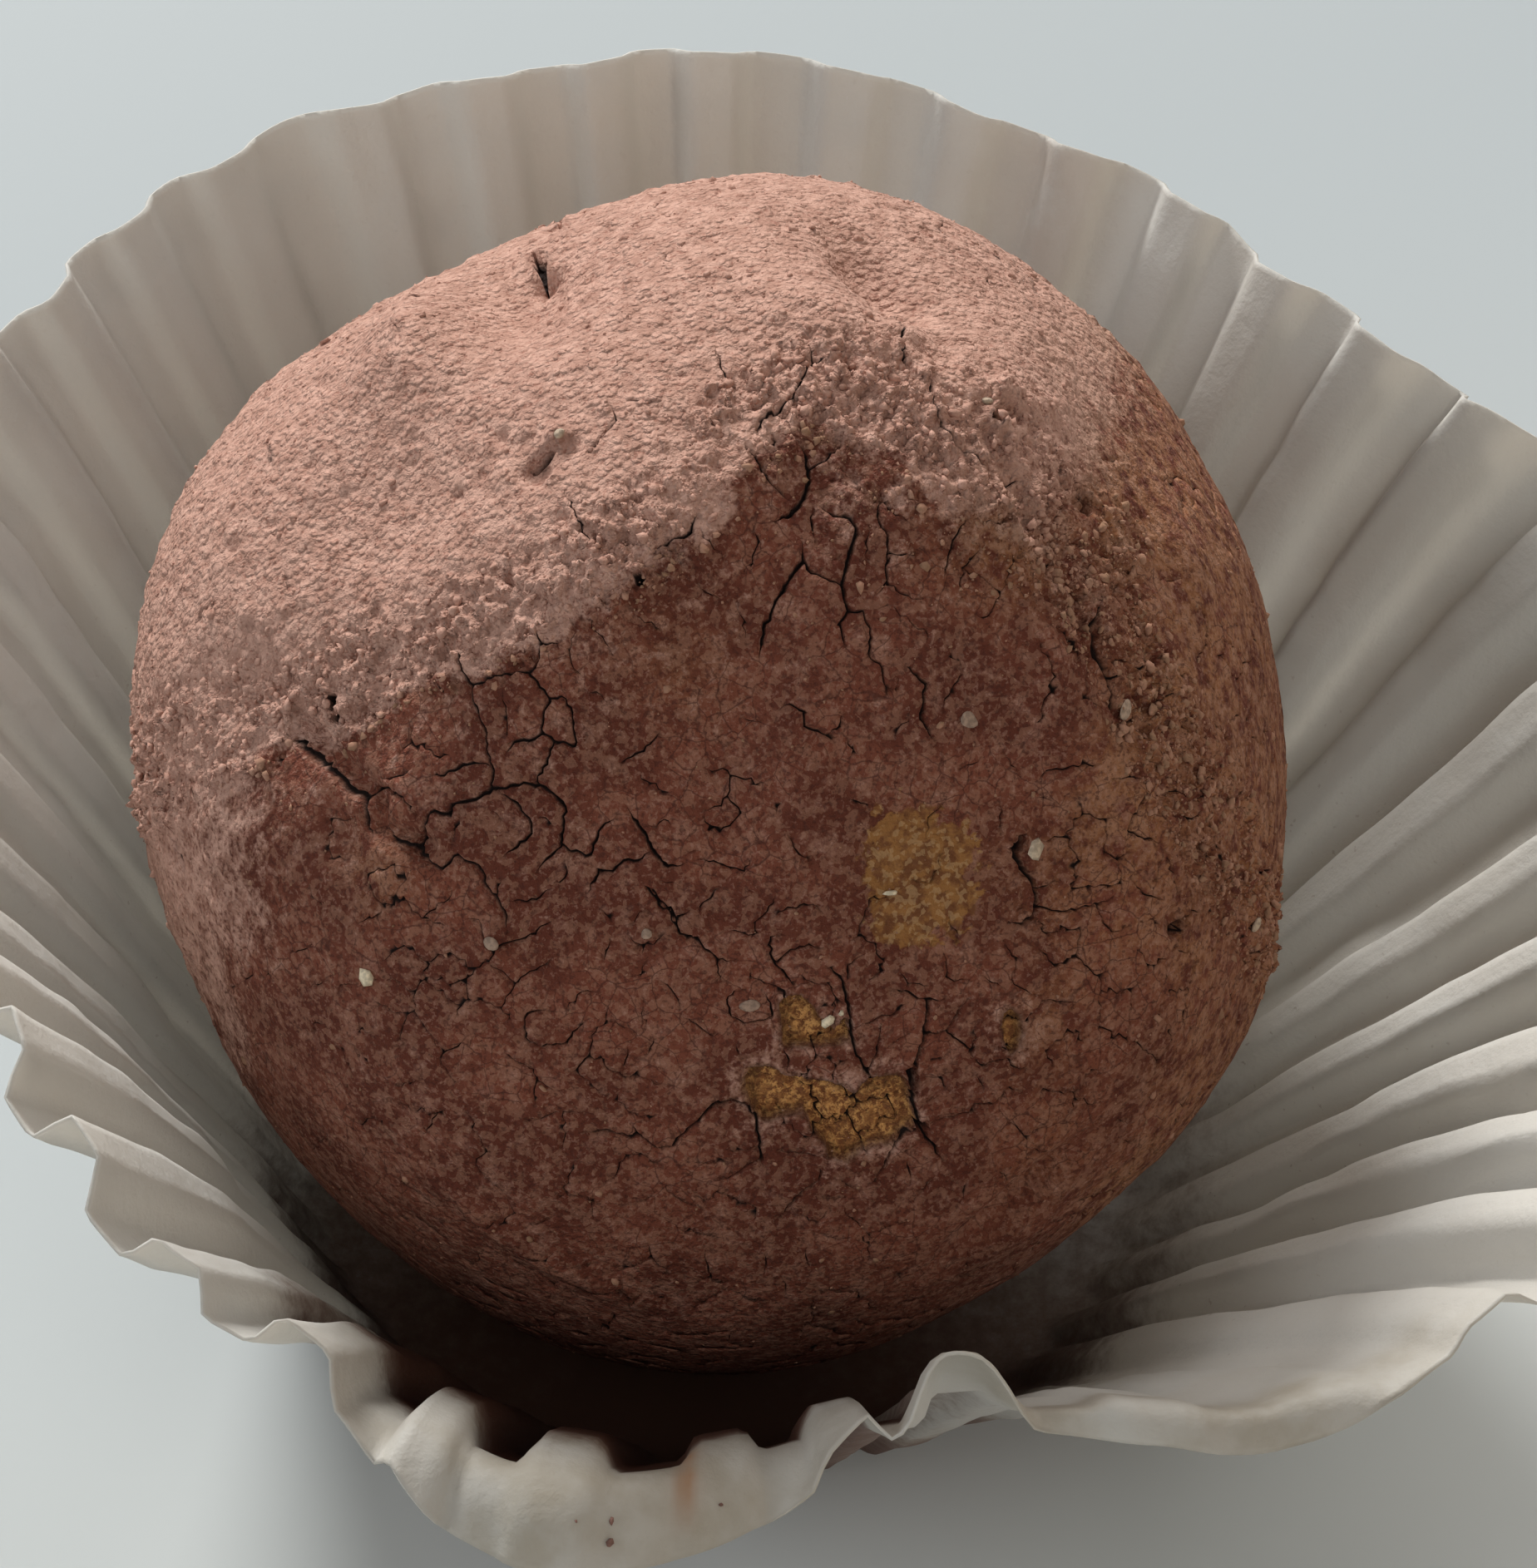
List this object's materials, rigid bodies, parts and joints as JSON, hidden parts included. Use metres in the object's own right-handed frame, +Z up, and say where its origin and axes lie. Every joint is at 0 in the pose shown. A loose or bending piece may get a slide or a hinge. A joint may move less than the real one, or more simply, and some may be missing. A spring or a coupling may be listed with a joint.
{
  "type": "chocolate truffle in a paper case",
  "caption": "Round cocoa-dusted chocolate truffle with a cracked, flaked crust, resting in a spread-open pleated white paper case.",
  "frame": {"origin": "centre of the paper case's flat base, on its underside", "axes": "+Z up, -Y towards the viewer's side where the crust is cracked and flaked, +X to its right"},
  "size_m": [0.0484, 0.0459, 0.0303],
  "materials": {
    "cocoa_crust": "matte, powdery",
    "case_paper": "thin, translucent, pleated"
  },
  "bodies": {
    "root": {"truffle": "cocoa_crust", "paper_case": "case_paper"}
  },
  "joints": []
}
